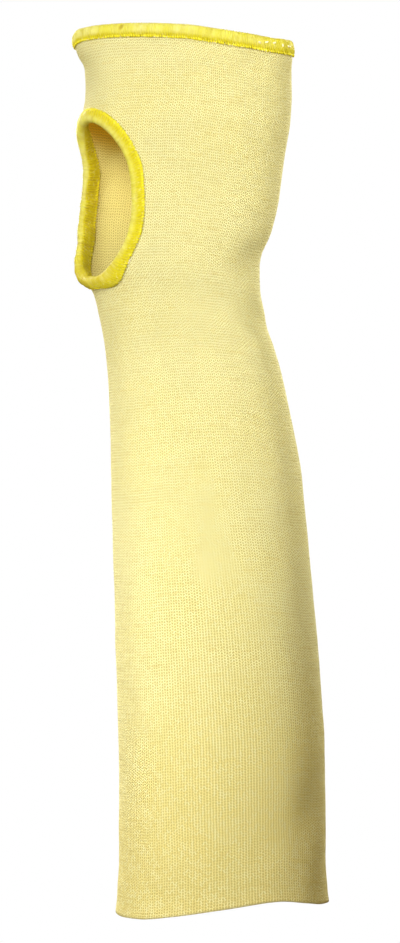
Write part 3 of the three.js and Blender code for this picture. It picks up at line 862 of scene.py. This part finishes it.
def beside_edge(angle, height, past, lift):
    """Points past a closed edge, along the cloth, and over it. The path runs the way that puts past
    outside the cloth."""
    around, up, normal = surface_slopes(angle, height)
    points = surface_point(angle, height)
    run = np.roll(points, -1, axis=0) - np.roll(points, 1, axis=0)
    outward = np.cross(run, normal)
    outward /= np.linalg.norm(outward, axis=1, keepdims=True)
    angle_rate = (outward * around).sum(1) / (around * around).sum(1)
    height_rate = (outward * up).sum(1) / (up * up).sum(1)
    return wall_point(
        angle[:, None] + angle_rate[:, None] * past, height[:, None] + height_rate[:, None] * past, lift
    )


print("paths ready")


# %% The form of a roll
INNER_REACH = 1.45  # how much deeper the roll goes on the inner face
ROLL_BORDER = math.radians(152)
ROLL_FACE = np.linspace(ROLL_BORDER, -ROLL_BORDER, 25)  # from the outer border over the edge
OVER_CLOTH = CLEARANCE * 0.75


def soft_waves(seed, count, cells):
    """Soft random waves round a closed path."""
    knots = np.random.default_rng(seed).uniform(-1, 1, cells)
    at = np.arange(count) / count * cells
    i = at.astype(int)
    s = at - i
    s = s * s * (3 - 2 * s)
    return knots[i % cells] * (1 - s) + knots[(i + 1) % cells] * s


def roll_form(count, wraps, half_depth, middle, half_height, needle_from, lean, lumps, seed):
    """How far past the edge and how high each point of a roll lies, its ridges, and the zone that the
    needle pulled tight."""
    share = np.arange(count) / count
    stray = 0.3 * soft_waves(seed, count, wraps // 2) + 0.5 * soft_waves(seed + 1, count, wraps // 7)
    wrap = share[:, None] * wraps + stray[:, None] + lean * (1 - np.cos(ROLL_FACE / 1.7))[None, :]
    ridge = np.abs(np.sin(math.pi * wrap)) ** 0.8
    strong = (1 + 0.6 * soft_waves(seed + 2, count, wraps))[:, None]
    swell = 1 + lumps * np.cos(ROLL_FACE / 2)[None, :]
    start = np.radians(np.where(ROLL_FACE > 0, needle_from, 12))
    zone = np.clip((np.abs(ROLL_FACE) - start) / math.radians(45), 0, 1)[None, :]
    grow = (0.33 + 0.22 * zone) * (ridge - 0.6) * strong
    c, s = np.cos(ROLL_FACE), np.sin(ROLL_FACE)
    past = middle[:, None] + (half_depth[:, None] + grow) * (np.sign(c) * np.abs(c) ** 0.86)[None, :]
    lift = -WALL / 2 + (half_height * swell + grow) * (np.sign(s) * np.abs(s) ** 0.86)[None, :]
    border = np.exp(-(((np.abs(ROLL_FACE) - ROLL_BORDER) / 0.16) ** 2))[None, :]
    past = past - 0.35 * border * (ridge - 0.5)
    past = np.where((lift < -WALL / 2) & (past < 0), past * INNER_REACH, past)
    lift = np.where((lift > -WALL / 2) & (past < 0), np.maximum(lift, OVER_CLOTH), lift)
    lift = np.where((lift <= -WALL / 2) & (past < 0), np.minimum(lift, -WALL - OVER_CLOTH), lift)
    return past, lift, ridge, zone


print("a roll has", len(ROLL_FACE), "points round its face")


# %% A roll's mesh
def closed_round_cloth(past, lift):
    """The roll's face, and the four points that close it underneath, along the cloth."""
    flat = 0 * past[:, 0]
    under_past = np.stack([past[:, -1] * 0.5, flat + CLEARANCE, flat + CLEARANCE, past[:, 0] * 0.5], 1)
    under_lift = np.array([-WALL - OVER_CLOTH, -WALL - OVER_CLOTH, OVER_CLOTH, OVER_CLOTH])
    return np.concatenate([past, under_past], 1), np.concatenate([lift, under_lift + 0 * under_past], 1)


def roll_piece(name, angle, height, wraps, half_depth, middle, half_height, needle_from, lean, lumps, seed):
    """A roll of wrapped thread. half_depth and middle change along it, lumps round it as well."""
    count = len(angle)
    past, lift, ridge, zone = roll_form(
        count, wraps, half_depth, middle, half_height, needle_from, lean, lumps, seed
    )
    past, lift = closed_round_cloth(past, lift)
    sides = past.shape[1]
    a = np.arange(count * sides).reshape(count, sides)
    b = np.roll(a, -1, axis=1)
    c, d = np.roll(b, -1, axis=0), np.roll(a, -1, axis=0)
    points = beside_edge(angle, height, past, lift)
    piece = make_piece(name, points.reshape(-1, 3), np.stack([a, b, c, d], -1).reshape(-1, 4))
    u = np.arange(count)[:, None] / count * wraps
    u = np.stack([u, u, u + wraps / count, u + wraps / count], -1) + np.zeros((count, sides, 4))
    v = np.arange(sides)[None, :, None] + np.array([0, 1, 1, 0])[None, None, :] + np.zeros((count, sides, 4))
    add_map(piece, "Wraps", np.stack([u, v / sides], -1).reshape(-1, 2))
    under = np.ones((count, 4))
    add_values(piece, "needle_line", np.concatenate([zone * (0.75 + 0.25 * ridge), under], 1))
    add_values(piece, "between", np.concatenate([zone * (1 - ridge) ** 1.2, under], 1))
    add_values(piece, "lump", np.concatenate([lumps + 0 * ridge, 0 * under], 1))
    return piece


print("roll ready")

# %% The hand edge's roll
HAND_WRAPS = 206
WRAP_STEPS = 5
PATH_STEPS = 4000
PAST_EDGE = 1.2  # how far a roll stands past the cut edge
HAND_REACH, HAND_REACH_MORE = 3.9, 0.8  # onto the cloth at the thumb side, and more opposite
JOIN_PLACE, JOIN_SLANT, JOIN_BREADTH = -39.2, -0.8, 1.5  # to the right, for a radian round, mm
JOIN_DEPTH, JOIN_TURN, JOIN_SPAN = 0.45, 1.15, 0.85  # share of the height, radians round the roll

path_angle = -np.arange(PATH_STEPS) * 360 / PATH_STEPS
hand_angle, hand_height, hand_length = even_path(
    path_angle, hand_edge_height(path_angle), HAND_WRAPS * WRAP_STEPS
)
reach = HAND_REACH + HAND_REACH_MORE * (1 - np.cos(np.radians(hand_angle))) / 2
hand_half = (reach + 1.3) / 1.9
# the thread starts and ends at a join, a short slanted notch on the front, near the thumb
rim_points = surface_point(hand_angle, hand_height)
from_join = (rim_points[:, :1] - JOIN_PLACE - JOIN_SLANT * ROLL_FACE[None, :]) / JOIN_BREADTH
round_roll = (ROLL_FACE[None, :] - JOIN_TURN) / JOIN_SPAN
join = JOIN_DEPTH * np.exp(-(from_join**2) - round_roll**2) * (rim_points[:, 1:2] < 0)
hand_lumps = 0.1 * soft_waves(11, len(hand_angle), 70) + 0.07 * soft_waves(12, len(hand_angle), 19)
hand_roll = roll_piece(
    "hand_edge_roll", hand_angle, hand_height, HAND_WRAPS, half_depth=hand_half, middle=PAST_EDGE - hand_half,
    half_height=2.0, needle_from=84, lean=1.4, lumps=hand_lumps[:, None] - join, seed=13,
)
print(hand_roll.name, len(hand_roll.data.polygons), "faces round", round(hand_length), "mm")

# %% The thumb hole's roll
THUMB_WRAPS = 168
THUMB_HALF_DEPTH = 2.85

hole_angle, hole_height = hole_loop(PATH_STEPS)
thumb_angle, thumb_height, thumb_length = even_path(hole_angle, hole_height, THUMB_WRAPS * WRAP_STEPS)
thumb_half = np.full(len(thumb_angle), THUMB_HALF_DEPTH)
thumb_lumps = 0.18 * soft_waves(21, len(thumb_angle), 74) + 0.09 * soft_waves(22, len(thumb_angle), 17)
thumb_roll = roll_piece(
    "thumb_hole_roll", thumb_angle, thumb_height, THUMB_WRAPS, half_depth=thumb_half,
    middle=PAST_EDGE - thumb_half, half_height=2.1, needle_from=62, lean=1.9, lumps=thumb_lumps[:, None],
    seed=23,
)
print(thumb_roll.name, len(thumb_roll.data.polygons), "faces round", round(thumb_length), "mm")

# %% [markdown]
# ## The needle's teeth
# Along the border of each roll the needle pulled the thread down into a row of short tight stitches.
# Each is a bead, a ball squeezed in edit mode. It is modelled once, with few faces because there are
# hundreds of it, and copied along the border with a little chance in its place, turn and size.

# %% One tooth of thread
TOOTH_SHAPE = (0.4, 0.85, 0.42)  # half its breadth, length and height

bpy.ops.object.select_all(action="DESELECT")
bpy.ops.mesh.primitive_uv_sphere_add(segments=8, ring_count=6, radius=1)
tooth = bpy.context.object
tooth.name = "tooth_pattern"
bpy.ops.object.mode_set(mode="EDIT")
bpy.ops.mesh.select_all(action="SELECT")
bpy.ops.transform.resize(value=TOOTH_SHAPE)
bpy.ops.object.mode_set(mode="OBJECT")
# a new ball's points and faces can come in any order, so they are sorted to be the same each time
by_place = sorted(tooth.data.vertices, key=lambda vertex: tuple(round(c, 3) for c in vertex.co))
number = {vertex.index: i for i, vertex in enumerate(by_place)}
tooth_points = np.array([vertex.co for vertex in by_place])
tooth_faces = []
for polygon in tooth.data.polygons:
    corners = [number[v] for v in polygon.vertices]
    first = corners.index(min(corners))
    tooth_faces.append(tuple(corners[first:] + corners[:first]))
tooth_faces.sort()
bpy.data.objects.remove(tooth)
print("a tooth has", len(tooth_faces), "faces")


# %% A row of teeth along a roll
def teeth_row(angle, height, wraps, past_at, lift_at, length, slant, seed):
    """Copies of the tooth along the border of a roll, on the outer and the inner face."""
    rng = np.random.default_rng(seed)
    count = len(angle)
    points, faces = [], []
    for side in (1, -1):
        past = np.stack([past_at - 0.4, past_at + 0.4], 1) * (1 if side > 0 else INNER_REACH)
        lift = np.full(past.shape, lift_at) if side > 0 else np.full(past.shape, -WALL - lift_at)
        ends = beside_edge(angle, height, past, lift)
        normal = surface_slopes(angle, height)[2] * side
        for n in range(wraps):
            at = (n + 0.5 + rng.uniform(-0.12, 0.12)) * count / wraps
            k = int(at) % count
            outer_end, inner_end = Vector(ends[k, 0]), Vector(ends[k, 1])
            long_way = (inner_end - outer_end).normalized()
            out_way = Vector(normal[k]).normalized()
            side_way = long_way.cross(out_way).normalized()
            turn = Matrix.Rotation(slant + rng.uniform(-0.15, 0.15), 3, out_way)
            long_way, side_way = turn @ long_way, turn @ side_way
            size = 1 + rng.uniform(-0.15, 0.15)
            basis = np.array([side_way, long_way * length, out_way]) * size
            middle = np.array((outer_end + inner_end) / 2)
            base = len(points) * len(tooth_points)
            points.append(tooth_points @ basis + middle)
            faces.extend(tuple(base + v for v in face) for face in tooth_faces)
    return np.concatenate(points), faces


THUMB_BORDER = np.full(len(thumb_angle), -3.5)
hand_teeth = make_piece("hand_edge_teeth", *teeth_row(
    hand_angle, hand_height, HAND_WRAPS, -reach + 0.3, lift_at=0.5, length=1.05, slant=0.35, seed=31
))
thumb_teeth = make_piece("thumb_hole_teeth", *teeth_row(
    thumb_angle, thumb_height, THUMB_WRAPS, THUMB_BORDER, lift_at=0.6, length=1.3, slant=0.3, seed=32
))
print("teeth:", HAND_WRAPS, "and", THUMB_WRAPS, "on each face")

# %% [markdown]
# ## Pale ends
# The knit's own pale yarn pokes out between the wraps, as small loops along the needle line and as a
# few thicker ends near the little finger. They could be curled curves, but at this size a bead turned
# any way reads the same and needs far fewer faces.

# %% Pale ends of yarn
END_PLACES = [14.3, 17.1, 20.0, 23.3, 25.4, 28.5]  # mm to the right, on the front of the hand edge


def pale_ends():
    """Beads of the knit's yarn, in a few chosen places and along both needle lines."""
    rng = np.random.default_rng(41)
    points, faces = [], []

    def lay(place, size):
        turn = Matrix.Rotation(rng.uniform(0, 2 * math.pi), 3, Vector(rng.normal(size=3)).normalized())
        base = len(points) * len(tooth_points)
        points.append(tooth_points @ np.array(turn) * size + place)
        faces.extend(tuple(base + v for v in face) for face in tooth_faces)

    front = np.nonzero(rim_points[:, 1] < 0)[0]
    for x in END_PLACES:
        k = front[np.argmin(np.abs(rim_points[front, 0] - x))]
        lay(wall_point(hand_angle[k], hand_height[k] - rng.uniform(0.5, 2.0), 1.25), rng.uniform(0.9, 1.25))
    for angle, height, past, count in (
        (hand_angle, hand_height, -reach - 0.2, 90),
        (thumb_angle, thumb_height, np.full(len(thumb_angle), -4.4), 70),
    ):
        border = beside_edge(angle, height, past[:, None], np.full((len(angle), 1), 0.35))[:, 0]
        for k in rng.choice(len(angle), count, replace=False):
            lay(border[k], rng.uniform(0.4, 0.7))
    return np.concatenate(points), faces


yarn_ends = make_piece("pale_yarn_ends", *pale_ends())
yarn_finish, t, shader = new_finish("pale_yarn_end")
shader.inputs["Base Color"].default_value = rgb(255, 248, 205)
shader.inputs["Roughness"].default_value = 0.8
yarn_ends.data.materials.append(yarn_finish)
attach(yarn_ends, "root")
print("ends:", len(yarn_ends.data.polygons) // len(tooth_faces))

# %% [markdown]
# ## The thread's finish
# Overlock thread is smooth and a little glossy, a stronger yellow than the yarn. Each modelled ridge is
# three strands of it, too fine to model, so a node group draws them on the map that counts the wraps.
# Cloudy noise then turns some wraps paler and some deeper, as light and wear do on the real roll.

# %% Group: wrapped thread
STRANDS = 3.0  # in one wrap
WRAP_LEAN = 3.0  # wraps that a strand passes on its way round the roll

wrapped, t, given, out = new_group(
    "wrapped_thread",
    [("Map", "NodeSocketVector")],
    [("Height", "NodeSocketFloat"), ("Groove", "NodeSocketFloat"), ("Tint", "NodeSocketFloat")],
)
parts = t.add("ShaderNodeSeparateXYZ", Vector=given.outputs["Map"])
run = t.plus(parts.outputs[0], t.times(parts.outputs[1], WRAP_LEAN))
strand = t.math("ABSOLUTE", t.math("SINE", t.times(t.times(run, STRANDS), math.pi)))
one_wrap = t.add("ShaderNodeTexWhiteNoise", {"noise_dimensions": "1D"}, W=t.math("FLOOR", run))
t.set(out.inputs["Height"], t.power(strand, 0.7))
t.set(out.inputs["Groove"], t.ramp(strand, 0.05, 0.5, 1.0, 0.0))
t.set(out.inputs["Tint"], one_wrap.outputs["Value"])
print("group", wrapped.name)

# %% Finish: satin overlock thread
SATIN = rgb(245, 240, 86)
SATIN_PALE = rgb(250, 247, 158)
SATIN_DEEP = rgb(230, 218, 6)
SATIN_SHADE = rgb(190, 160, 2)  # painted shade between two wraps and at the ring's lower end; also darker wraps and the join
STRAND_DEPTH = 0.00026  # metres

thread_finish, t, shader = new_finish("satin_thread")
wrap_map = t.add("ShaderNodeUVMap", {"uv_map": "Wraps"}).outputs[0]
drawn = t.add("ShaderNodeGroup", {"node_tree": wrapped}, Map=wrap_map)
line, between, lump = t.value("needle_line"), t.value("between"), t.value("lump")
place = t.add("ShaderNodeTexCoord").outputs["Object"]
# cloudy tints; painted shade, deeper and darker, at the thumb hole's lower end, which faces down away from the
# light; and a deeper yellow towards the little finger
cloud = t.noise(place, 130.0, 5.0, 0.75)
colour = t.mix(t.ramp(cloud, 0.4, 0.62, 0.0, 0.85), SATIN, SATIN_PALE)
colour = t.mix(t.ramp(t.noise(place, 260.0, 3.0, 0.6), 0.5, 0.66, 0.0, 0.6), colour, SATIN_DEEP)
where = t.add("ShaderNodeSeparateXYZ", Vector=place)
colour = t.mix(t.ramp(where.outputs[2], 0.272, 0.25, 0.0, 0.85), colour, SATIN_DEEP)
colour = t.mix(t.ramp(where.outputs[2], 0.262, 0.249, 0.0, 0.3), colour, SATIN_SHADE)
colour = t.mix(t.ramp(where.outputs[0], 0.0, 0.034, 0.0, 0.85), colour, SATIN_DEEP)
# painted shade, a deeper yellow, down in the grooves between the strands
colour = t.mix(t.times(drawn.outputs["Groove"], 0.75), colour, SATIN_DEEP)
# wrap by wrap, a tint of its own; the needle's line deeper; and painted shade in the gaps between two wraps
wrap_tint = t.minus(drawn.outputs["Tint"], 0.5)
colour = t.mix(t.times(wrap_tint, 0.6, clamp=True), colour, SATIN_PALE)
colour = t.mix(t.times(wrap_tint, -0.3, clamp=True), colour, SATIN_SHADE)
colour = t.mix(t.ramp(line, 0.1, 0.8), colour, SATIN_DEEP)
open_gaps = t.ramp(t.noise(place, 420.0, 3.0, 0.7), 0.4, 0.6, 0.15, 1.0)
colour = t.mix(t.times(between, open_gaps, clamp=True), colour, SATIN_SHADE)
frayed = t.ramp(t.noise(place, 900.0, 3.0, 0.7), 0.5, 0.72, 0.0, 0.55)
colour = t.mix(t.times(line, frayed), colour, SATIN_PALE)
colour = t.mix(t.ramp(lump, -0.16, -0.34, 0.0, 0.8), colour, SATIN_SHADE)
t.set(shader.inputs["Base Color"], colour)
shader.inputs["Roughness"].default_value = 0.5
shader.inputs["Specular IOR Level"].default_value = 0.35
shader.inputs["Sheen Weight"].default_value = 0.05
bump = t.add("ShaderNodeBump", Strength=0.8, Distance=STRAND_DEPTH, Height=drawn.outputs["Height"])
t.set(shader.inputs["Normal"], bump.outputs[0])
print("finish", thread_finish.name)

# %% Finish: needle thread
TOOTH, TOOTH_PALE = rgb(238, 224, 8), rgb(250, 243, 60)

tooth_finish, t, shader = new_finish("needle_thread")
place = t.add("ShaderNodeTexCoord").outputs["Object"]
colour = t.mix(t.ramp(t.noise(place, 700.0, 2.0), 0.35, 0.65), TOOTH, TOOTH_PALE)
t.set(shader.inputs["Base Color"], colour)
shader.inputs["Roughness"].default_value = 0.5
shader.inputs["Specular IOR Level"].default_value = 0.4
bump = t.add("ShaderNodeBump", Strength=0.4, Distance=0.0001, Height=t.noise(place, 3000.0, 1.0))
t.set(shader.inputs["Normal"], bump.outputs[0])
print("finish", tooth_finish.name)

# %% Laying the finishes on
for piece, finish in (
    (hand_roll, thread_finish), (thumb_roll, thread_finish),
    (hand_teeth, tooth_finish), (thumb_teeth, tooth_finish),
):
    piece.data.materials.append(finish)
    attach(piece, "root")
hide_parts("hand_edge_binding")
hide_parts("thumb_edge_binding")
print("rolls stand for the two bindings")

# %% [markdown]
# ## Last words for the frame
# The knit is a sheet: cut open up one side it would lie flat, as long as the sleeve and as wide as
# the mean girth.

bpy.context.view_layer.update()
